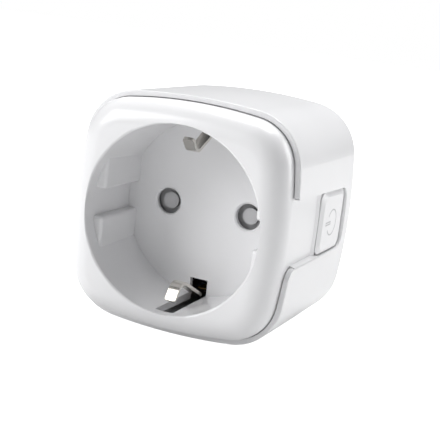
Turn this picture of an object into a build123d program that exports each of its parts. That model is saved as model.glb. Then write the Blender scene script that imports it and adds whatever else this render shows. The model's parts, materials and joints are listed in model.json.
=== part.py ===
# Plug-in power meter with a round-pin socket in its front, a plug boss on its back and a side button.
# +X is the button side, -Y the socket front, +Y the wall, +Z up. The origin is on the plug's axis,
# in the plane of the housing's rear face, which is the face that meets the wall socket.
# Depths are measured from the front face towards the wall.
from build123d import *
import math
import os

os.makedirs("parts", exist_ok=True)

# ---- driving dimensions, mm ----
pin_spacing = 19.0
housing_depth = 43.0
housing_half = 25.0
housing_side_radius = 124.0
housing_corner_radius = 11.5
cover_half = 23.8
cover_side_radius = 104.0
cover_corner_radius = 9.7
cover_wall = 1.6
pillow_radius = 5.4
lip_depth = 5.9
lip_gap = 0.18
lip_rounding = 0.3
skirt_end = 8.6
housing_wall = 1.8
rear_edge_radius = 2.0

mouth_radius = 19.5
mouth_rounding = 0.5
floor_radius = 19.3
ribs_start = 3.5
floor_depth = 18.6
cup_end = 19.9
cup_outer_radius = 21.0
contact_hole_radius = 2.85
contact_hole_chamfer = 0.35
rib_face = 17.0
upper_rib = (2.95, 10.1)
lower_rib = (-10.1, -3.05)
rib_rounding = 0.7
earth_slot_width = 4.14
earth_slot_inner = 15.7
earth_slot_outer = 21.6
earth_slot_start = 2.5

notch_end = 37.4
notch_top = 8.15
notch_bottom = -6.25
notch_taper = 0.027
notch_floor = 21.4
notch_rear_rounding = 2.5
notch_top_rounding = 0.5
notch_bottom_rounding = 2.6
flare_depth = 0.4
tongue_end = 21.5
tongue_gap = 0.05
tongue_horn = 2.0
rim_start = 20.4
rim_rise = 0.4
border_foot = 0.4
button_gap = 0.25
button_rounding = 2.0
button_base = 24.3
button_face = 24.85
button_front_bevel = 1.25
button_rear_bevel = 2.0
button_top_bevel = 1.0
button_bottom_bevel = 0.75
flange_thickness = 0.65
flange_margin = 0.7
stem_radius = 1.5
stem_start = 19.9
stem_depth = 28.0
stem_height = 0.8

boss_end = 60.3
boss_radius = 18.5
boss_flat = 16.7
boss_ridge_half = 2.4
boss_groove_floor = 16.2
boss_groove_width = 6.4
boss_hollow_radius = 14.4
boss_face_thickness = 2.1
boss_chamfer = 0.8
pin_radius = 2.4
pin_seat_radius = 2.1
pin_seat_gap = 0.03
pin_end = 79.3
pin_support_radius = 4.2
pin_support_start = 52.0
earth_hole_height = 10.0
earth_hole_radius = 3.0

clip_width = 2.4
clip_thickness = 0.7
clip_root = 22.0
clip_root_height = 19.0
clip_shoulder = 18.0
clip_bend = 7.57
clip_root_bend = 2.0
clip_tip_rounding = 0.4
clip_root_rounding = 0.34
# each clip's shoulder height, bend height, bend radius and tip as (depth, height)
top_clip = (18.5, 13.5, 1.9, (4.75, 16.46))
bottom_clip = (18.85, 13.87, 2.6, (4.9, 17.8))
strip_width = 4.6
strip_thickness = 0.8
strip_gap = 0.05

board_front = 34.4
board_back = 36.0
board_half = 20.6
running_gap = 0.1
overlap = 0.1
past = 1.0
shutter_post_radius = 1.4
shutter_post_end = 23.2
post_radius = 2.2
post_bore_radius = 1.0
post_bore_end = housing_depth - 2.5
pin_stem_radius = 1.0
screw_places = ((-18.3, -9.5), (18.4, 9.5))


def face_at(depth):
    # the plane across the object at a depth, looking out of the front
    return Plane.XZ.offset(housing_depth - depth)


def spot(x, depth, z):
    return (x, depth - housing_depth, z)


def box_between(x_range, depth_range, z_range, mode=Mode.ADD):
    middle = spot(sum(x_range) / 2, sum(depth_range) / 2, sum(z_range) / 2)
    with Locations(middle):
        Box(x_range[1] - x_range[0], depth_range[1] - depth_range[0], z_range[1] - z_range[0], mode=mode)


def rod(radius, depth_range, x=0.0, z=0.0, mode=Mode.ADD):
    # a cylinder along Y between two depths
    with Locations(Location(spot(x, sum(depth_range) / 2, z), (90, 0, 0))):
        Cylinder(radius, depth_range[1] - depth_range[0], mode=mode)


def side_rod(radius, x_range, mode=Mode.ADD):
    # a cylinder along X on the button's own axis
    with Locations(Location(spot(sum(x_range) / 2, stem_depth, stem_height), (0, 90, 0))):
        Cylinder(radius, x_range[1] - x_range[0], mode=mode)


def bowed_square(plane, half, side_radius, corner_radius):
    # a square with bowed sides, each an arc of side_radius, and rounded corners
    bow = side_radius - half
    corner = (math.sqrt(2 * side_radius**2 - bow**2) - bow) / 2
    with BuildSketch(plane) as outline:
        with BuildLine():
            ThreePointArc((corner, -corner), (half, 0), (corner, corner))
            ThreePointArc((corner, corner), (0, half), (-corner, corner))
            ThreePointArc((-corner, corner), (-half, 0), (-corner, -corner))
            ThreePointArc((-corner, -corner), (0, -half), (corner, -corner))
        make_face()
        fillet(outline.vertices(), corner_radius)
    return outline.sketch


def notch_outline(x, start, end, top_inset, bottom_inset, front_rounding, rear_rounding):
    # the notch's four-sided outline on the side plane at x; its top edge falls a little towards the rear
    top_front = notch_top - notch_taper * (start - lip_depth) - top_inset
    top_rear = notch_top - notch_taper * (end - lip_depth) - top_inset
    bottom = notch_bottom + bottom_inset
    with BuildSketch(Plane.YZ.offset(x)) as outline:
        with BuildLine():
            Polyline(
                (start - housing_depth, bottom),
                (end - housing_depth, bottom),
                (end - housing_depth, top_rear),
                (start - housing_depth, top_front),
                close=True,
            )
        make_face()
        if front_rounding:
            fillet(outline.vertices().group_by(Axis.X)[0], front_rounding)
        fillet(outline.vertices().group_by(Axis.X)[-1], rear_rounding)
    return outline.sketch


# ---- front cover: pillow-shaped shell, socket recess, tongue to the button ----
hollow_rounding = pillow_radius - cover_wall
with BuildPart() as cover_hollow:
    extrude(
        bowed_square(
            face_at(skirt_end),
            cover_half - cover_wall,
            cover_side_radius - cover_wall,
            cover_corner_radius - cover_wall,
        ),
        amount=skirt_end - cover_wall,
    )
    fillet(cover_hollow.faces().sort_by(Axis.Y)[0].edges(), hollow_rounding)

with BuildPart() as rib_pair:
    for rib_range in (upper_rib, lower_rib):
        box_between((rib_face, mouth_radius + past), (ribs_start, cup_end - past), rib_range)
    fillet(rib_pair.edges().filter_by(Axis.Y).group_by(Axis.X)[0], rib_rounding)
    fillet(rib_pair.faces().filter_by(Axis.Y).group_by(Axis.Y)[0].edges(), rib_rounding)
    rod(cup_outer_radius - past / 2, (ribs_start, cup_end - past), mode=Mode.INTERSECT)
    mirror(about=Plane.YZ)

# the tongue follows the cover's side, with a low rim at the button and a thin border up to the housing
tongue_inner = cover_half - cover_wall
tongue_reach = tongue_end + tongue_horn
with BuildPart() as tongue_core:
    extrude(
        bowed_square(face_at(rim_start), cover_half, cover_side_radius, cover_corner_radius),
        amount=rim_start,
    )
    loft(
        [
            bowed_square(face_at(rim_start), cover_half, cover_side_radius, cover_corner_radius),
            bowed_square(
                face_at(tongue_end),
                cover_half + rim_rise,
                cover_side_radius + rim_rise,
                cover_corner_radius + rim_rise,
            ),
        ]
    )
    extrude(
        bowed_square(
            face_at(tongue_reach + 1),
            cover_half + rim_rise,
            cover_side_radius + rim_rise,
            cover_corner_radius + rim_rise,
        ),
        amount=tongue_reach + 1 - tongue_end,
    )

border_start = lip_depth + notch_bottom_rounding
dish_inner = cover_half - 0.3
dish_outer = housing_half + 0.2
dish_corner = 1.0
with BuildPart() as tongue_dish:
    loft(
        [
            notch_outline(dish_inner, lip_depth, notch_end, 0, tongue_gap + border_foot, 0, dish_corner),
            notch_outline(dish_outer, lip_depth, notch_end, 0, tongue_gap, 0, dish_corner),
        ]
    )
    box_between(
        (cover_half - past, housing_half + past),
        (lip_depth - past, border_start),
        (notch_bottom - past, notch_top + past),
    )
    add(tongue_core.part, mode=Mode.SUBTRACT)

horn_rounding = 0.3
with BuildPart() as tongue:
    extrude(
        notch_outline(tongue_inner, lip_depth, tongue_reach, tongue_gap, tongue_gap, 0, horn_rounding),
        amount=housing_half - tongue_inner,
    )
    extrude(
        bowed_square(
            face_at(housing_depth),
            housing_half - tongue_gap,
            housing_side_radius - tongue_gap,
            housing_corner_radius - tongue_gap,
        ),
        amount=housing_depth,
        mode=Mode.INTERSECT,
    )
    add(tongue_dish.part, mode=Mode.SUBTRACT)
    extrude(
        notch_outline(
            tongue_inner - past,
            tongue_end,
            notch_end,
            0,
            0,
            button_rounding + button_gap,
            dish_corner,
        ),
        amount=housing_half,
        mode=Mode.SUBTRACT,
    )

mouth_arc = mouth_rounding * (1 - math.sqrt(0.5))
with BuildPart() as front_cover:
    extrude(
        bowed_square(face_at(skirt_end), cover_half, cover_side_radius, cover_corner_radius),
        amount=skirt_end,
    )
    fillet(front_cover.faces().sort_by(Axis.Y)[0].edges(), pillow_radius)
    add(cover_hollow.part, mode=Mode.SUBTRACT)
    rod(cup_outer_radius, (cover_wall / 2, cup_end))
    with BuildSketch(Plane.XY):
        with BuildLine():
            Polyline(
                (mouth_radius, mouth_rounding - housing_depth),
                (mouth_radius, ribs_start - housing_depth),
                (floor_radius, floor_depth - housing_depth),
                (0, floor_depth - housing_depth),
                (0, -1 - housing_depth),
                (mouth_radius + mouth_rounding, -1 - housing_depth),
                (mouth_radius + mouth_rounding, -housing_depth),
            )
            ThreePointArc(
                (mouth_radius + mouth_rounding, -housing_depth),
                (mouth_radius + mouth_arc, mouth_arc - housing_depth),
                (mouth_radius, mouth_rounding - housing_depth),
            )
        make_face()
    revolve(axis=Axis.Y, mode=Mode.SUBTRACT)
    add(rib_pair.part)
    for side in (-1, 1):
        slot_range = sorted((side * earth_slot_inner, side * earth_slot_outer))
        box_between(
            (-earth_slot_width / 2, earth_slot_width / 2),
            (earth_slot_start, cup_end + 1),
            slot_range,
            mode=Mode.SUBTRACT,
        )
        rod(
            contact_hole_radius,
            (floor_depth - past, cup_end + past),
            x=side * pin_spacing / 2,
            mode=Mode.SUBTRACT,
        )
    hole_rims = front_cover.edges().filter_by(GeomType.CIRCLE)
    hole_rims = hole_rims.filter_by(lambda rim: math.isclose(rim.radius, contact_hole_radius))
    chamfer(hole_rims.group_by(Axis.Y)[0], contact_hole_chamfer)
    rod(shutter_post_radius, (cup_end - overlap, shutter_post_end))
    add(tongue.part)
front_cover.part.label = "front_cover"

# ---- rear housing: lipped shell, side notch, plug boss ----
with BuildPart() as rear_housing:
    extrude(
        bowed_square(face_at(housing_depth), housing_half, housing_side_radius, housing_corner_radius),
        amount=housing_depth - lip_depth,
    )
    fillet(rear_housing.faces().sort_by(Axis.Y)[-1].edges(), rear_edge_radius)
    fillet(rear_housing.faces().sort_by(Axis.Y)[0].edges(), lip_rounding)
    with BuildSketch(face_at(boss_end)):
        Circle(boss_radius)
        for side in (-1, 1):
            with Locations((side * (boss_flat + 5), 0)):
                Rectangle(10, 4 * boss_radius, mode=Mode.SUBTRACT)
        with BuildSketch(mode=Mode.PRIVATE) as ridge:
            Rectangle(2 * boss_radius, 2 * boss_ridge_half)
            Circle(boss_radius, mode=Mode.INTERSECT)
        add(ridge.sketch)
        for side in (-1, 1):
            with Locations((0, side * (boss_groove_floor + 2))):
                Rectangle(boss_groove_width, 4, mode=Mode.SUBTRACT)
    extrude(amount=boss_end - housing_depth + 1)
    chamfer(rear_housing.faces().sort_by(Axis.Y)[-1].edges(), boss_chamfer)
    extrude(
        bowed_square(
            face_at(skirt_end),
            cover_half + lip_gap,
            cover_side_radius + lip_gap,
            cover_corner_radius + lip_gap,
        ),
        amount=skirt_end - lip_depth + 1,
        mode=Mode.SUBTRACT,
    )
    extrude(
        bowed_square(
            face_at(housing_depth - housing_wall),
            housing_half - housing_wall,
            housing_side_radius - housing_wall,
            housing_corner_radius - housing_wall,
        ),
        amount=housing_depth - housing_wall - skirt_end + 1,
        mode=Mode.SUBTRACT,
    )
    rod(boss_hollow_radius, (housing_depth - 3, boss_end - boss_face_thickness), mode=Mode.SUBTRACT)
    for side in (-1, 1):
        pin_x = side * pin_spacing / 2
        rod(pin_support_radius, (pin_support_start, boss_end - overlap), x=pin_x)
        rod(
            pin_seat_radius + pin_seat_gap,
            (pin_support_start - past, boss_end + past),
            x=pin_x,
            mode=Mode.SUBTRACT,
        )
        strip_range = sorted((side * (boss_groove_floor - strip_gap), side * (boss_groove_floor + past)))
        box_between(
            (-strip_width / 2 - running_gap, strip_width / 2 + running_gap),
            (housing_depth - 3, housing_depth + 1),
            strip_range,
            mode=Mode.SUBTRACT,
        )
    rod(earth_hole_radius, (boss_end - 4, boss_end + 1), z=earth_hole_height, mode=Mode.SUBTRACT)
    extrude(
        notch_outline(notch_floor, lip_depth - 2, notch_end, 0, 0, 0, notch_rear_rounding),
        amount=5,
        mode=Mode.SUBTRACT,
    )
    loft(
        [
            notch_outline(
                housing_half - flare_depth,
                lip_depth - 2,
                notch_end,
                0,
                0,
                0,
                notch_rear_rounding,
            ),
            notch_outline(
                housing_half + flare_depth,
                lip_depth - 2,
                notch_end + 2 * flare_depth,
                0,
                -2 * flare_depth,
                0,
                notch_rear_rounding + 2 * flare_depth,
            ),
        ],
        mode=Mode.SUBTRACT,
    )
    notch_corners = ((notch_top, 1, notch_top_rounding), (notch_bottom, -1, notch_bottom_rounding))
    for edge, side, rounding in notch_corners:
        corner_y = lip_depth + rounding - housing_depth
        corner_z = edge + side * rounding
        with BuildSketch(Plane.YZ.offset(notch_floor)):
            with Locations((corner_y - rounding / 2, corner_z - side * rounding / 2)):
                Rectangle(rounding, rounding)
            with Locations((corner_y, corner_z)):
                Circle(rounding, mode=Mode.SUBTRACT)
        extrude(amount=5, mode=Mode.SUBTRACT)
    for post_x, post_z in screw_places:
        rod(post_radius, (board_back, housing_depth - 1), x=post_x, z=post_z)
        rod(post_bore_radius, (board_back - 1, post_bore_end), x=post_x, z=post_z, mode=Mode.SUBTRACT)
rear_housing.part.label = "rear_housing"

# ---- power button: bevelled cap with a retaining flange and a stem ----
button_front = tongue_end + button_gap
button_rear = notch_end - button_gap
button_rear_rounding = notch_rear_rounding - button_gap
with BuildPart() as power_button:
    extrude(
        notch_outline(
            notch_floor,
            button_front,
            button_rear,
            button_gap,
            button_gap,
            button_rounding,
            button_rear_rounding,
        ),
        amount=button_base - notch_floor,
    )
    loft(
        [
            notch_outline(
                button_base,
                button_front,
                button_rear,
                button_gap,
                button_gap,
                button_rounding,
                button_rear_rounding,
            ),
            notch_outline(
                button_face,
                button_front + button_front_bevel,
                button_rear - button_rear_bevel,
                button_gap + button_top_bevel,
                button_gap + button_bottom_bevel,
                button_rounding,
                button_rear_rounding,
            ),
        ]
    )
    box_between(
        (notch_floor, notch_floor + flange_thickness),
        (button_front - 1, notch_end + flange_margin),
        (notch_bottom - flange_margin, notch_top),
    )
    side_rod(stem_radius, (stem_start, notch_floor + overlap))
power_button.part.label = "power_button"


# ---- earth clips in the recess ----
def earth_clip(side, clip_shape):
    shoulder_height, bend_height, bend_radius, tip = clip_shape
    with BuildPart() as clip:
        with BuildSketch(Plane.YZ):
            with BuildLine():
                FilletPolyline(
                    (clip_root - housing_depth, side * clip_root_height),
                    (clip_shoulder - housing_depth, side * shoulder_height),
                    (clip_bend - housing_depth, side * bend_height),
                    (tip[0] - housing_depth, side * tip[1]),
                    radius=(clip_root_bend, bend_radius),
                )
            trace(line_width=clip_thickness)
        extrude(amount=clip_width / 2, both=True)
        root_edges = clip.faces().sort_by(Axis.Y)[-1].edges().filter_by(Axis.X)
        fillet(root_edges, clip_root_rounding)
        tip_face = clip.faces().sort_by(Axis.Y)[0]
        fillet(tip_face.edges().sort_by(SortBy.LENGTH)[:2], clip_tip_rounding)
    return clip.part


with BuildPart() as earth_clip_top:
    add(earth_clip(1, top_clip))
earth_clip_top.part.label = "earth_clip_top"

with BuildPart() as earth_clip_bottom:
    add(earth_clip(-1, bottom_clip))
earth_clip_bottom.part.label = "earth_clip_bottom"

# ---- shutter behind the contact holes ----
shutter_front = 21.4
shutter_back = 22.2
shutter_width = 6.6
shutter_hub_radius = 4.2
shutter_disc_radius = 1.8
shutter_disc_front = 20.2
shutter_cover_radius = 15.0
shutter_cover_wall = 1.2
shutter_cover_floor = 23.4
shutter_cover_end = 24.4
shutter_cover_hole_radius = 2.95
with BuildPart() as socket_shutter:
    with BuildSketch(face_at(shutter_back)):
        SlotCenterToCenter(pin_spacing, shutter_width)
        Circle(shutter_hub_radius)
    extrude(amount=shutter_back - shutter_front)
    for side in (-1, 1):
        rod(shutter_disc_radius, (shutter_disc_front, shutter_front), x=side * pin_spacing / 2)
    rod(shutter_post_radius + running_gap, (cup_end, shutter_cover_floor), mode=Mode.SUBTRACT)
socket_shutter.part.label = "socket_shutter"

with BuildPart() as shutter_cover:
    rod(shutter_cover_radius, (cup_end, shutter_cover_end))
    rod(
        shutter_cover_radius - shutter_cover_wall,
        (cup_end - past, shutter_cover_floor),
        mode=Mode.SUBTRACT,
    )
    for side in (-1, 1):
        rod(
            shutter_cover_hole_radius,
            (shutter_cover_floor - 1, shutter_cover_end + 1),
            x=side * pin_spacing / 2,
            mode=Mode.SUBTRACT,
        )
shutter_cover.part.label = "shutter_cover"

spring_start = 22.5
spring_length = 0.6
spring_pitch = 0.4
spring_radius = 2.1
spring_wire_radius = 0.18
with BuildPart() as shutter_spring:
    with BuildLine() as spring_coil:
        Helix(
            pitch=spring_pitch,
            height=spring_length,
            radius=spring_radius,
            center=spot(0, spring_start, 0),
            direction=(0, 1, 0),
        )
    with BuildSketch(spring_coil.line ^ 0):
        Circle(spring_wire_radius)
    sweep(is_frenet=True)
shutter_spring.part.label = "shutter_spring"

# ---- plug pins and earth parts ----
pin_tip_rounding = 1.9
pin_head_radius = 3.4
pin_head_start = 50.4
pin_stem_start = board_front - 0.6


def plug_pin(x):
    with BuildPart() as pin:
        rod(pin_radius, (boss_end, pin_end), x=x)
        fillet(pin.faces().sort_by(Axis.Y)[-1].edges(), pin_tip_rounding)
        rod(pin_seat_radius, (pin_support_start, boss_end), x=x)
        rod(pin_head_radius, (pin_head_start, pin_support_start), x=x)
        rod(pin_stem_radius, (pin_stem_start, pin_head_start), x=x)
    return pin.part


with BuildPart() as live_pin:
    add(plug_pin(-pin_spacing / 2))
live_pin.part.label = "live_pin"

with BuildPart() as neutral_pin:
    add(plug_pin(pin_spacing / 2))
neutral_pin.part.label = "neutral_pin"

bus_front = 38.2
bus_back = 39.0
bus_reach = 19.4
bus_width = 4.6
bus_leg_width = 3.2
bus_leg_thickness = 0.8
bus_leg_start = 22.3
strip_end = 59.2
strip_rounding = 1.2


def plug_earth(side):
    strip_range = sorted((side * boss_groove_floor, side * (boss_groove_floor + strip_thickness)))
    with BuildPart() as strip:
        box_between((-strip_width / 2, strip_width / 2), (bus_back, strip_end), strip_range)
        end_face = strip.faces().sort_by(Axis.Y)[-1]
        fillet(end_face.edges().filter_by(Axis.Z), strip_rounding)
    return strip.part


with BuildPart() as plug_earth_top:
    add(plug_earth(1))
plug_earth_top.part.label = "plug_earth_top"

with BuildPart() as plug_earth_bottom:
    add(plug_earth(-1))
plug_earth_bottom.part.label = "plug_earth_bottom"

with BuildPart() as earth_bus:
    box_between((-bus_width / 2, bus_width / 2), (bus_front, bus_back), (-bus_reach, bus_reach))
    for side in (-1, 1):
        leg_range = sorted((side * (bus_reach - bus_leg_thickness), side * bus_reach))
        box_between((-bus_leg_width / 2, bus_leg_width / 2), (bus_leg_start, bus_back), leg_range)
earth_bus.part.label = "earth_bus"

earth_tube_radius = 3.2
earth_tube_bore = 2.45
earth_tube_bore_start = 44.0
with BuildPart() as earth_pin_socket:
    rod(earth_tube_radius, (bus_back, boss_end - boss_face_thickness), z=earth_hole_height)
    rod(earth_tube_bore, (earth_tube_bore_start, boss_end), z=earth_hole_height, mode=Mode.SUBTRACT)
earth_pin_socket.part.label = "earth_pin_socket"

# ---- sprung contact tubes and their carrier ----
contact_start = 24.8
contact_end = 33.0
contact_radius = 3.3
contact_bore = 2.45
contact_bore_end = 31.8
contact_slit_half = 0.35
contact_slit_end = 30.5
contact_tail = (-2.4, -1.6)
contact_tail_half = 1.0
contact_tail_end = board_back + 0.6


def contact_tube(x):
    with BuildPart() as tube:
        rod(contact_radius, (contact_start, contact_end), x=x)
        rod(contact_bore, (contact_start - 1, contact_bore_end), x=x, mode=Mode.SUBTRACT)
        box_between(
            (x - contact_slit_half, x + contact_slit_half),
            (contact_start - 1, contact_slit_end),
            (-contact_radius - 1, contact_radius + 1),
            mode=Mode.SUBTRACT,
        )
        box_between(
            (x + contact_tail[0], x + contact_tail[1]),
            (contact_end, contact_tail_end),
            (-contact_tail_half, contact_tail_half),
        )
    return tube.part


with BuildPart() as live_contact:
    add(contact_tube(-pin_spacing / 2))
live_contact.part.label = "live_contact"

with BuildPart() as neutral_contact:
    add(contact_tube(pin_spacing / 2))
neutral_contact.part.label = "neutral_contact"

carrier_end = 31.0
carrier_bridge_end = 27.0
carrier_bridge_half = 2.5
carrier_radius = 4.8
carrier_bore = 3.6
with BuildPart() as contact_carrier:
    box_between(
        (-pin_spacing / 2, pin_spacing / 2),
        (shutter_cover_end, carrier_bridge_end),
        (-carrier_bridge_half, carrier_bridge_half),
    )
    for side in (-1, 1):
        rod(carrier_radius, (shutter_cover_end, carrier_end), x=side * pin_spacing / 2)
    for side in (-1, 1):
        rod(
            carrier_bore,
            (shutter_cover_end - 1, carrier_end + 1),
            x=side * pin_spacing / 2,
            mode=Mode.SUBTRACT,
        )
contact_carrier.part.label = "contact_carrier"

# ---- main board and what stands on it ----
board_side_radius = 120
board_corner_radius = 8
leg_notch_half = 2.2
leg_notch_start = 18.2
clear_hole_radius = 1.1
through_board = (board_front - 1, board_back + 1)
with BuildPart() as main_board:
    extrude(
        bowed_square(face_at(board_back), board_half, board_side_radius, board_corner_radius),
        amount=board_back - board_front,
    )
    for side in (-1, 1):
        leg_notch = sorted((side * leg_notch_start, side * (board_half + 1)))
        box_between((-leg_notch_half, leg_notch_half), through_board, leg_notch, mode=Mode.SUBTRACT)
        pin_x = side * pin_spacing / 2
        rod(clear_hole_radius, through_board, x=pin_x, mode=Mode.SUBTRACT)
        box_between(
            (pin_x + contact_tail[0] - running_gap, pin_x + contact_tail[1] + running_gap),
            through_board,
            (-contact_tail_half - running_gap, contact_tail_half + running_gap),
            mode=Mode.SUBTRACT,
        )
    for screw_x, screw_z in screw_places:
        rod(clear_hole_radius, through_board, x=screw_x, z=screw_z, mode=Mode.SUBTRACT)
main_board.part.label = "main_board"

screw_head_radius = 1.9
screw_head_height = 1.2
screw_radius = 0.95
screw_slot_depth = 0.6
screw_slot_half = 0.2
with BuildPart() as board_screws:
    for screw_x, screw_z in screw_places:
        rod(screw_head_radius, (board_front - screw_head_height, board_front), x=screw_x, z=screw_z)
        rod(screw_radius, (board_front - overlap, post_bore_end - 0.5), x=screw_x, z=screw_z)
        box_between(
            (screw_x - screw_head_radius, screw_x + screw_head_radius),
            (board_front - screw_head_height, board_front - screw_head_height + screw_slot_depth),
            (screw_z - screw_slot_half, screw_z + screw_slot_half),
            mode=Mode.SUBTRACT,
        )
board_screws.part.label = "board_screws"

# relay: base, cover, yoke with its core, coil and armature
relay_x = (-19.6, -2.8)
relay_z = (5.4, 17.6)
relay_front = 24.7
relay_base_front = 33.2
relay_wall = 0.6
relay_chamfer = 0.4
relay_middle = sum(relay_z) / 2
with BuildPart() as relay_base:
    box_between(relay_x, (relay_base_front, board_front), relay_z)
relay_base.part.label = "relay_base"

with BuildPart() as relay_cover:
    box_between(relay_x, (relay_front, relay_base_front), relay_z)
    chamfer(relay_cover.faces().sort_by(Axis.Y)[0].edges(), relay_chamfer)
    box_between(
        (relay_x[0] + relay_wall, relay_x[1] - relay_wall),
        (relay_front + relay_wall, relay_base_front + 1),
        (relay_z[0] + relay_wall, relay_z[1] - relay_wall),
        mode=Mode.SUBTRACT,
    )
relay_cover.part.label = "relay_cover"

coil_x = -14.4
coil_radius = 3.5
coil_core_radius = 1.5
coil_front = 27.2
yoke_back = (-18.9, -18.3)
yoke_front = 26.9
yoke_foot_front = 32.5
yoke_foot_end = -10.8
yoke_z = (relay_middle - 3, relay_middle + 3)
armature_x = (-18.7, -6.5)
armature_depth = (25.9, 26.5)
armature_pivot_rounding = 0.29
with BuildPart() as relay_yoke:
    box_between(yoke_back, (yoke_front, relay_base_front), yoke_z)
    box_between((yoke_back[0], yoke_foot_end), (yoke_foot_front, relay_base_front), yoke_z)
    rod(coil_core_radius, (yoke_front, yoke_foot_front + overlap), x=coil_x, z=relay_middle)
relay_yoke.part.label = "relay_yoke"

with BuildPart() as relay_coil:
    rod(coil_radius, (coil_front, yoke_foot_front), x=coil_x, z=relay_middle)
    rod(
        coil_core_radius,
        (coil_front - 1, yoke_foot_front + 1),
        x=coil_x,
        z=relay_middle,
        mode=Mode.SUBTRACT,
    )
relay_coil.part.label = "relay_coil"

with BuildPart() as relay_armature:
    box_between(armature_x, armature_depth, yoke_z)
    pivot_edges = relay_armature.faces().sort_by(Axis.X)[0].edges().filter_by(Axis.Z)
    fillet(pivot_edges, armature_pivot_rounding)
relay_armature.part.label = "relay_armature"

shunt_half_width = 2.0
shunt_legs = ((-14.5, -12.9), (-7.1, -5.5))
shunt_bridge_front = 32.8
shunt_bridge_back = 33.6
with BuildPart() as current_shunt:
    for leg_z in shunt_legs:
        box_between((-shunt_half_width, shunt_half_width), (shunt_bridge_back, board_front), leg_z)
    box_between(
        (-shunt_half_width, shunt_half_width),
        (shunt_bridge_front, shunt_bridge_back),
        (shunt_legs[0][0], shunt_legs[1][1]),
    )
current_shunt.part.label = "current_shunt"

live_strap_x = (-14.0, -8.0)
live_strap_z = (4.0, 14.0)
live_strap_thickness = 0.7
with BuildPart() as live_strap:
    box_between(live_strap_x, (board_back, board_back + live_strap_thickness), live_strap_z)
live_strap.part.label = "live_strap"

chip_chamfer = 0.3
chip_height = 1.5
metering_chip_x = (4.5, 10.5)
metering_chip_z = (8.0, 12.0)
with BuildPart() as metering_chip:
    box_between(metering_chip_x, (board_back, board_back + chip_height), metering_chip_z)
    chamfer(metering_chip.faces().sort_by(Axis.Y)[-1].edges(), chip_chamfer)
metering_chip.part.label = "metering_chip"

can_places = (6.6, 13.0)
can_radius = 3.1
can_front = 25.0
can_z = 8.5
can_rounding = 0.5
with BuildPart() as filter_capacitors:
    for can_x in can_places:
        rod(can_radius, (can_front, board_front), x=can_x, z=can_z)
    fillet(filter_capacitors.faces().group_by(Axis.Y)[0].edges(), can_rounding)
filter_capacitors.part.label = "filter_capacitors"

film_x = (3.2, 16.2)
film_z = (12.2, 17.7)
film_front = 24.8
film_rounding = 0.6
with BuildPart() as mains_capacitor:
    box_between(film_x, (film_front, board_front), film_z)
    fillet(mains_capacitor.faces().sort_by(Axis.Y)[0].edges(), film_rounding)
mains_capacitor.part.label = "mains_capacitor"

choke_x = -6.4
choke_z = -15.0
choke_flange_radius = 3.6
choke_flanges = ((25.6, 27.0), (33.0, board_front))
choke_core_radius = 2.8
with BuildPart() as filter_choke:
    for flange_range in choke_flanges:
        rod(choke_flange_radius, flange_range, x=choke_x, z=choke_z)
    rod(choke_core_radius, (choke_flanges[0][1], choke_flanges[1][0]), x=choke_x, z=choke_z)
filter_choke.part.label = "filter_choke"

absorber_place = spot(-9.2, 29.6, -8.6)
absorber_radius = 4.6
absorber_thickness = 3.0
absorber_rounding = 0.8
with BuildPart() as surge_absorber:
    with Locations(absorber_place):
        Cylinder(absorber_radius, absorber_thickness)
    fillet(surge_absorber.edges(), absorber_rounding)
surge_absorber.part.label = "surge_absorber"

fuse_place = spot(-13.6, 32.4, -13.0)
fuse_radius = 1.7
fuse_length = 4.6
fuse_rounding = 0.5
with BuildPart() as fuse_resistor:
    with Locations(Location(fuse_place, (0, 90, 0))):
        Cylinder(fuse_radius, fuse_length)
    fillet(fuse_resistor.edges(), fuse_rounding)
fuse_resistor.part.label = "fuse_resistor"

supply_chip_x = (4.0, 9.0)
supply_chip_z = (-14.0, -10.0)
with BuildPart() as supply_chip:
    box_between(supply_chip_x, (board_front - chip_height, board_front), supply_chip_z)
    chamfer(supply_chip.faces().sort_by(Axis.Y)[0].edges(), chip_chamfer)
supply_chip.part.label = "supply_chip"

radio_front = 30.2
radio_back = 31.0
radio_x = (4.0, 19.0)
radio_z = (-17.3, -6.5)
header_x = (5.0, 18.0)
header_z = (-8.3, -6.7)
shield_front = 28.2
shield_x = (5.5, 15.5)
shield_z = (-16.5, -8.8)
shield_wall = 0.3
with BuildPart() as pin_header:
    box_between(header_x, (radio_back, board_front), header_z)
pin_header.part.label = "pin_header"

with BuildPart() as radio_board:
    box_between(radio_x, (radio_front, radio_back), radio_z)
radio_board.part.label = "radio_board"

with BuildPart() as radio_shield:
    box_between(shield_x, (shield_front, radio_front), shield_z)
    box_between(
        (shield_x[0] + shield_wall, shield_x[1] - shield_wall),
        (shield_front + shield_wall, radio_back),
        (shield_z[0] + shield_wall, shield_z[1] - shield_wall),
        mode=Mode.SUBTRACT,
    )
radio_shield.part.label = "radio_shield"

# ---- button board with its switch and light ----
button_board_x = (15.2, 16.4)
button_board_front = 21.4
button_board_z = (-5.4, 5.0)
with BuildPart() as button_board:
    box_between(button_board_x, (button_board_front, board_front), button_board_z)
button_board.part.label = "button_board"

switch_half = 3.0
switch_top = 19.0
switch_bore_radius = 1.8
switch_bore_floor = 16.9
plunger_radius = 1.7
plunger_x = (17.55, 19.55)
with BuildPart() as switch_body:
    box_between(
        (button_board_x[1], switch_top),
        (stem_depth - switch_half, stem_depth + switch_half),
        (stem_height - switch_half, stem_height + switch_half),
    )
    side_rod(switch_bore_radius, (switch_bore_floor, switch_top + 1), mode=Mode.SUBTRACT)
switch_body.part.label = "switch_body"

with BuildPart() as switch_plunger:
    side_rod(plunger_radius, plunger_x)
switch_plunger.part.label = "switch_plunger"

led_thickness = 0.7
led_depth = (22.2, 23.8)
led_z = (2.6, 3.6)
with BuildPart() as status_led:
    box_between((button_board_x[1], button_board_x[1] + led_thickness), led_depth, led_z)
status_led.part.label = "status_led"

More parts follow.
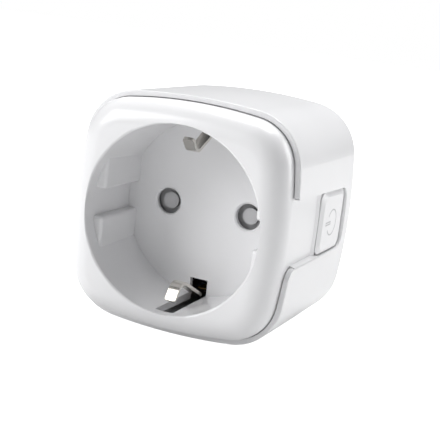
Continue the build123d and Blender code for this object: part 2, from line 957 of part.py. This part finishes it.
pieces = (
    front_cover, rear_housing, power_button, earth_clip_top, earth_clip_bottom, socket_shutter,
    shutter_cover, shutter_spring, live_pin, neutral_pin, plug_earth_top, plug_earth_bottom, earth_bus,
    earth_pin_socket, live_contact, neutral_contact, contact_carrier, main_board, board_screws, relay_base,
    relay_cover, relay_yoke, relay_coil, relay_armature, current_shunt, live_strap, metering_chip,
    filter_capacitors, mains_capacitor, filter_choke, surge_absorber, fuse_resistor, supply_chip,
    pin_header, radio_board, radio_shield, button_board, switch_body, switch_plunger, status_led,
)
for piece in pieces:
    export_step(piece.part, f"parts/{piece.part.label}.step")
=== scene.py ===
import json
import math
import bpy
from mathutils import Matrix, Vector


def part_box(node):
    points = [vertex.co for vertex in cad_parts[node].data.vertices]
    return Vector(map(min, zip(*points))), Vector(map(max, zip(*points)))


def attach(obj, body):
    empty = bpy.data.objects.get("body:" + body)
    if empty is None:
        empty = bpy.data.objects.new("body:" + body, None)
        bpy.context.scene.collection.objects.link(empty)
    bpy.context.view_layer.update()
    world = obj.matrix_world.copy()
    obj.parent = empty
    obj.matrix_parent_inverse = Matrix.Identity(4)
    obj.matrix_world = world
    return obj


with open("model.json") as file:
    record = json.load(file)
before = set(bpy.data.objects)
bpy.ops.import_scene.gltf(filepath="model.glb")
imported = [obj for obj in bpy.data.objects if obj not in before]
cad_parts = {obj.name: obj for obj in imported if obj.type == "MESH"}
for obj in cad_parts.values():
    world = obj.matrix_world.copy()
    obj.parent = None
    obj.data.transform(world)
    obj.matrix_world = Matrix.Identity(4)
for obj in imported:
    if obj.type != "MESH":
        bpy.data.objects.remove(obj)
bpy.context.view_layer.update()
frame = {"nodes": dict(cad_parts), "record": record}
print("frame loaded:", len(frame["nodes"]), "nodes")

scene = bpy.context.scene
scene.view_settings.view_transform = "Standard"
mm = 0.001
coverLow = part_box("front_cover")[0]
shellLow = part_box("rear_housing")[0]
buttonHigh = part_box("power_button")[1]
frontY = coverLow[1]


# node helpers, one for each kind of node the finishes are built from
def newMaterial(name):
    mat = bpy.data.materials.new(name)
    mat.use_nodes = True
    tree = mat.node_tree
    tree.nodes.clear()
    out = tree.nodes.new("ShaderNodeOutputMaterial")
    shader = tree.nodes.new("ShaderNodeBsdfPrincipled")
    tree.links.new(shader.outputs["BSDF"], out.inputs["Surface"])
    coords = tree.nodes.new("ShaderNodeTexCoord").outputs["Object"]
    return mat, tree, shader, coords


def addNoise(tree, coords, size, detail=2.0, stretch=None):
    # size is the width of one blotch in metres
    if stretch:
        mapping = tree.nodes.new("ShaderNodeMapping")
        mapping.inputs["Scale"].default_value = stretch
        tree.links.new(coords, mapping.inputs["Vector"])
        coords = mapping.outputs["Vector"]
    noise = tree.nodes.new("ShaderNodeTexNoise")
    noise.inputs["Scale"].default_value = 1 / size
    noise.inputs["Detail"].default_value = detail
    tree.links.new(coords, noise.inputs["Vector"])
    return noise.outputs["Fac"]


def addRange(tree, value, low, high, fromLow=0.3, fromHigh=0.7):
    node = tree.nodes.new("ShaderNodeMapRange")
    node.inputs["From Min"].default_value = fromLow
    node.inputs["From Max"].default_value = fromHigh
    node.inputs["To Min"].default_value = low
    node.inputs["To Max"].default_value = high
    tree.links.new(value, node.inputs["Value"])
    return node.outputs["Result"]


def addMix(tree, factor, first, second):
    node = tree.nodes.new("ShaderNodeMix")
    node.data_type = "RGBA"
    tree.links.new(factor, node.inputs[0])
    node.inputs[6].default_value = (*first, 1.0)
    node.inputs[7].default_value = (*second, 1.0)
    return node.outputs[2]


def addBump(tree, shader, height, depth):
    bump = tree.nodes.new("ShaderNodeBump")
    bump.inputs["Distance"].default_value = depth
    tree.links.new(height, bump.inputs["Height"])
    tree.links.new(bump.outputs["Normal"], shader.inputs["Normal"])


# moulded plastic: a faint cloud in the colour, its polish a little uneven, and a fine skin
plasticIor = 1.5
coatRough = 0.1
cloudRange = (0.1, 0.9)


def mouldedPlastic(name, look):
    mat, tree, shader, coords = newMaterial(name)
    cloud = addNoise(tree, coords, look["cloud"], look.get("cloudDetail", 2.0))
    tint = addMix(tree, addRange(tree, cloud, 0.0, 1.0, *cloudRange), look["dark"], look["light"])
    tree.links.new(tint, shader.inputs["Base Color"])
    polish = addRange(tree, cloud, *look["rough"], *cloudRange)
    tree.links.new(polish, shader.inputs["Roughness"])
    addBump(tree, shader, addNoise(tree, coords, look["grain"], 0.0), look["skin"])
    shader.inputs["IOR"].default_value = plasticIor
    shader.inputs["Coat Weight"].default_value = look.get("coat", 0.0)
    shader.inputs["Coat Roughness"].default_value = coatRough
    return mat


# plated or bare metal: drawn one way, with a faint stain
def platedMetal(name, look):
    mat, tree, shader, coords = newMaterial(name)
    cloud = addNoise(tree, coords, look["cloud"])
    tint = addMix(tree, addRange(tree, cloud, 0.0, 1.0), look["dark"], look["light"])
    tree.links.new(tint, shader.inputs["Base Color"])
    drawn = addNoise(tree, coords, look["grain"], 2.0, look["stretch"])
    tree.links.new(addRange(tree, drawn, *look["rough"]), shader.inputs["Roughness"])
    addBump(tree, shader, drawn, look["skin"])
    shader.inputs["Metallic"].default_value = 1.0
    return mat


whiteShell = mouldedPlastic("whiteShell", {
    "dark": (0.79, 0.79, 0.80), "light": (0.82, 0.82, 0.83), "cloud": 0.02, "cloudDetail": 0.0,
    "grain": 0.004, "rough": (0.27, 0.31), "skin": 0.0000004, "coat": 0.25})
whiteButton = mouldedPlastic("whiteButton", {
    "dark": (0.80, 0.80, 0.81), "light": (0.83, 0.83, 0.84), "cloud": 0.008, "grain": 0.004,
    "rough": (0.28, 0.34), "skin": 0.0000004})
greyPlastic = mouldedPlastic("greyPlastic", {
    "dark": (0.47, 0.47, 0.48), "light": (0.53, 0.53, 0.54), "cloud": 0.004, "grain": 0.0006,
    "rough": (0.45, 0.6), "skin": 0.000002})
blackPlastic = mouldedPlastic("blackPlastic", {
    "dark": (0.02, 0.02, 0.022), "light": (0.04, 0.04, 0.043), "cloud": 0.004, "grain": 0.0006,
    "rough": (0.45, 0.6), "skin": 0.000002})
nickelPlate = platedMetal("nickelPlate", {
    "dark": (0.70, 0.67, 0.62), "light": (0.78, 0.76, 0.71), "cloud": 0.003, "grain": 0.0006,
    "stretch": (1.0, 0.1, 1.0), "rough": (0.16, 0.24), "skin": 0.0000005})
brassStrip = platedMetal("brassStrip", {
    "dark": (0.60, 0.44, 0.20), "light": (0.74, 0.58, 0.30), "cloud": 0.003, "grain": 0.0006,
    "stretch": (1.0, 0.1, 1.0), "rough": (0.25, 0.4), "skin": 0.000001})
copperWire = platedMetal("copperWire", {
    "dark": (0.55, 0.25, 0.12), "light": (0.72, 0.38, 0.2), "cloud": 0.002, "grain": 0.0002,
    "stretch": (0.1, 2.0, 0.1), "rough": (0.3, 0.45), "skin": 0.00004})
springSteel = platedMetal("springSteel", {
    "dark": (0.42, 0.42, 0.42), "light": (0.58, 0.58, 0.58), "cloud": 0.002, "grain": 0.0004,
    "stretch": (1.0, 1.0, 0.2), "rough": (0.3, 0.45), "skin": 0.000001})
drawnCan = platedMetal("drawnCan", {
    "dark": (0.66, 0.66, 0.68), "light": (0.78, 0.78, 0.8), "cloud": 0.003, "grain": 0.0005,
    "stretch": (1.0, 0.2, 1.0), "rough": (0.25, 0.4), "skin": 0.000001})
boardGreen = mouldedPlastic("boardGreen", {
    "dark": (0.01, 0.08, 0.03), "light": (0.02, 0.14, 0.05), "cloud": 0.0015, "grain": 0.0005,
    "rough": (0.3, 0.42), "skin": 0.000002, "coat": 0.4})
filmYellow = mouldedPlastic("filmYellow", {
    "dark": (0.66, 0.46, 0.05), "light": (0.76, 0.56, 0.08), "cloud": 0.004, "grain": 0.0006,
    "rough": (0.35, 0.5), "skin": 0.000002})
dippedBlue = mouldedPlastic("dippedBlue", {
    "dark": (0.03, 0.09, 0.30), "light": (0.05, 0.14, 0.42), "cloud": 0.003, "grain": 0.0008,
    "rough": (0.2, 0.35), "skin": 0.00001})
dippedGreen = mouldedPlastic("dippedGreen", {
    "dark": (0.10, 0.22, 0.12), "light": (0.16, 0.30, 0.17), "cloud": 0.003, "grain": 0.0008,
    "rough": (0.3, 0.45), "skin": 0.00001})
clearResin = mouldedPlastic("clearResin", {
    "dark": (0.72, 0.70, 0.62), "light": (0.80, 0.78, 0.70), "cloud": 0.001, "grain": 0.0005,
    "rough": (0.1, 0.2), "skin": 0.000001, "coat": 0.5})

finishes = {
    "white_shell": whiteShell, "white_button": whiteButton, "grey_plastic": greyPlastic,
    "black_plastic": blackPlastic, "yellow_plastic": filmYellow, "nickel": nickelPlate,
    "brass": brassStrip, "copper": copperWire, "spring_steel": springSteel,
    "can_aluminium": drawnCan, "board": boardGreen, "blue_coating": dippedBlue,
    "green_coating": dippedGreen, "led_resin": clearResin,
}
for part in frame["record"]["subparts"]:
    node = frame["nodes"][part["node"]]
    node.data.materials.clear()
    node.data.materials.append(finishes[part["material_slot"]])

# the power mark on the button: an engraved open ring and a bar, both opening to the front; the
# groove's shade is painted as grey lines
mark = {
    "depth": 29.0, "height": 0.45, "radius": 2.8, "line": 0.3, "opening": 64, "steps": 40,
    "barFrom": 25.0, "barTo": 28.2, "barWidth": 0.5, "proud": 0.01,
}


def flatRing(points, line, closed):
    # a flat band that follows a row of points, as (verts, faces) in the button's side plane
    verts, faces = [], []
    count = len(points)
    for index, (y, z) in enumerate(points):
        if closed:
            before, after = points[index - 1], points[(index + 1) % count]
        else:
            before, after = points[max(index - 1, 0)], points[min(index + 1, count - 1)]
        across = Vector((before[1] - after[1], after[0] - before[0])).normalized() * line / 2
        verts += [(y + across.x, z + across.y), (y - across.x, z - across.y)]
    for index in range(count if closed else count - 1):
        first, second = 2 * index, 2 * ((index + 1) % count)
        faces.append((first, first + 1, second + 1, second))
    return verts, faces


def markPiece(name, points, closed):
    faceX = buttonHigh[0] + mark["proud"] * mm
    verts, faces = flatRing(points, mark["line"], closed)
    mesh = bpy.data.meshes.new(name)
    mesh.from_pydata([(faceX, frontY + y * mm, z * mm) for y, z in verts], [], faces)
    # grey plastic here is painted shade standing in for the engraved groove's dark edge
    mesh.materials.append(greyPlastic)
    piece = bpy.data.objects.new(name, mesh)
    scene.collection.objects.link(piece)
    # gives the painted groove shade a thickness that reaches into the face
    skin = piece.modifiers.new("thickness", "SOLIDIFY")
    skin.thickness = 3 * mark["proud"] * mm
    skin.offset = -1.0
    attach(piece, "button")


halfOpening = math.radians(mark["opening"] / 2)
turns = [math.pi + halfOpening + step / mark["steps"] * (2 * math.pi - 2 * halfOpening)
         for step in range(mark["steps"] + 1)]
ringPoints = [(mark["depth"] + mark["radius"] * math.cos(turn),
               mark["height"] + mark["radius"] * math.sin(turn)) for turn in turns]
markPiece("powerMarkShadeRing", ringPoints, False)
barLow, barHigh = mark["height"] - mark["barWidth"] / 2, mark["height"] + mark["barWidth"] / 2
markPiece("powerMarkShadeBar", [(mark["barFrom"], barLow), (mark["barTo"], barLow),
                           (mark["barTo"], barHigh), (mark["barFrom"], barHigh)], True)
print("power mark added")

# floor, lights and camera
studio = {
    "floorSize": 2.4, "floorTone": (0.70, 0.70, 0.70), "floorRough": 0.9,
    "floorGlow": 1.0, "floorLift": 0.10,
    "backdropTone": (1.0, 1.0, 1.0), "fillTone": (0.97, 0.98, 1.0), "fillStrength": 0.18,
}


def makeFloor():
    mesh = bpy.data.meshes.new("floor")
    half = studio["floorSize"] / 2
    low = min(shellLow[2], coverLow[2])
    mesh.from_pydata([(-half, -half, low), (half, -half, low), (half, half, low), (-half, half, low)],
                     [], [(0, 1, 2, 3)])
    floor = bpy.data.objects.new("floor", mesh)
    scene.collection.objects.link(floor)
    mat, tree, shader, _ = newMaterial("floorPaper")
    shader.inputs["Base Color"].default_value = (*studio["floorTone"], 1.0)
    shader.inputs["Roughness"].default_value = studio["floorRough"]
    shader.inputs["Emission Color"].default_value = (1.0, 1.0, 1.0, 1.0)
    # the paper looks bright, and throws less light back up than it shows
    glow = addRange(tree, tree.nodes.new("ShaderNodeLightPath").outputs["Is Camera Ray"],
                    studio["floorLift"], studio["floorGlow"], 0.0, 1.0)
    tree.links.new(glow, shader.inputs["Emission Strength"])
    mesh.materials.append(mat)


def addAreaLight(name, size, power, place, target):
    data = bpy.data.lights.new(name, "AREA")
    data.shape = "RECTANGLE"
    data.size, data.size_y = size
    data.energy = power
    light = bpy.data.objects.new(name, data)
    light.location = place
    aim = Vector(target) - Vector(place)
    light.rotation_euler = aim.to_track_quat("-Z", "Y").to_euler()
    scene.collection.objects.link(light)


lights = {
    "keySoftbox": {"size": (0.4, 0.5), "power": 3.8, "place": (-0.50, -0.50, 0.34)},
    "frontSoftbox": {"size": (0.6, 0.4), "power": 0.6, "place": (-0.10, -0.80, 0.40)},
    "backSoftbox": {"size": (0.5, 0.8), "power": 4.7, "place": (0.74, 0.64, 0.25)},
    "topSoftbox": {"size": (0.6, 0.6), "power": 8.6, "place": (0.0, 0.32, 0.75)},
}
cameraSet = {
    "lens": 89.86, "sensor": 36.0, "nearest": 0.01, "place": (0.09227, -0.23776, 0.04649),
    "yaw": 22.65, "pitch": 11.80, "roll": 6.97,
}


def makeCamera():
    data = bpy.data.cameras.new("camera")
    data.lens = cameraSet["lens"]
    data.sensor_width = cameraSet["sensor"]
    data.clip_start = cameraSet["nearest"]
    camera = bpy.data.objects.new("camera", data)
    yaw, pitch, roll = (math.radians(cameraSet[turn]) for turn in ("yaw", "pitch", "roll"))
    aim = Matrix.Rotation(yaw, 4, "Z") @ Matrix.Rotation(math.pi / 2 - pitch, 4, "X")
    aim = aim @ Matrix.Rotation(roll, 4, "Z")
    camera.matrix_world = Matrix.Translation(cameraSet["place"]) @ aim
    scene.collection.objects.link(camera)
    scene.camera = camera


def makeWorld():
    # the backdrop is seen as white paper, and lights the object more softly than that
    world = bpy.data.worlds.new("studio")
    world.use_nodes = True
    tree = world.node_tree
    tree.nodes.clear()
    seen = tree.nodes.new("ShaderNodeBackground")
    seen.inputs["Color"].default_value = (*studio["backdropTone"], 1.0)
    fill = tree.nodes.new("ShaderNodeBackground")
    fill.inputs["Color"].default_value = (*studio["fillTone"], 1.0)
    fill.inputs["Strength"].default_value = studio["fillStrength"]
    pick = tree.nodes.new("ShaderNodeMixShader")
    tree.links.new(tree.nodes.new("ShaderNodeLightPath").outputs["Is Camera Ray"], pick.inputs["Fac"])
    tree.links.new(fill.outputs["Background"], pick.inputs[1])
    tree.links.new(seen.outputs["Background"], pick.inputs[2])
    out = tree.nodes.new("ShaderNodeOutputWorld")
    tree.links.new(pick.outputs["Shader"], out.inputs["Surface"])
    scene.world = world


makeFloor()
for name, light in lights.items():
    addAreaLight(name, light["size"], light["power"], light["place"], (0.0, frontY / 2, 0.0))
makeWorld()
makeCamera()
print("floor, lights and camera set")
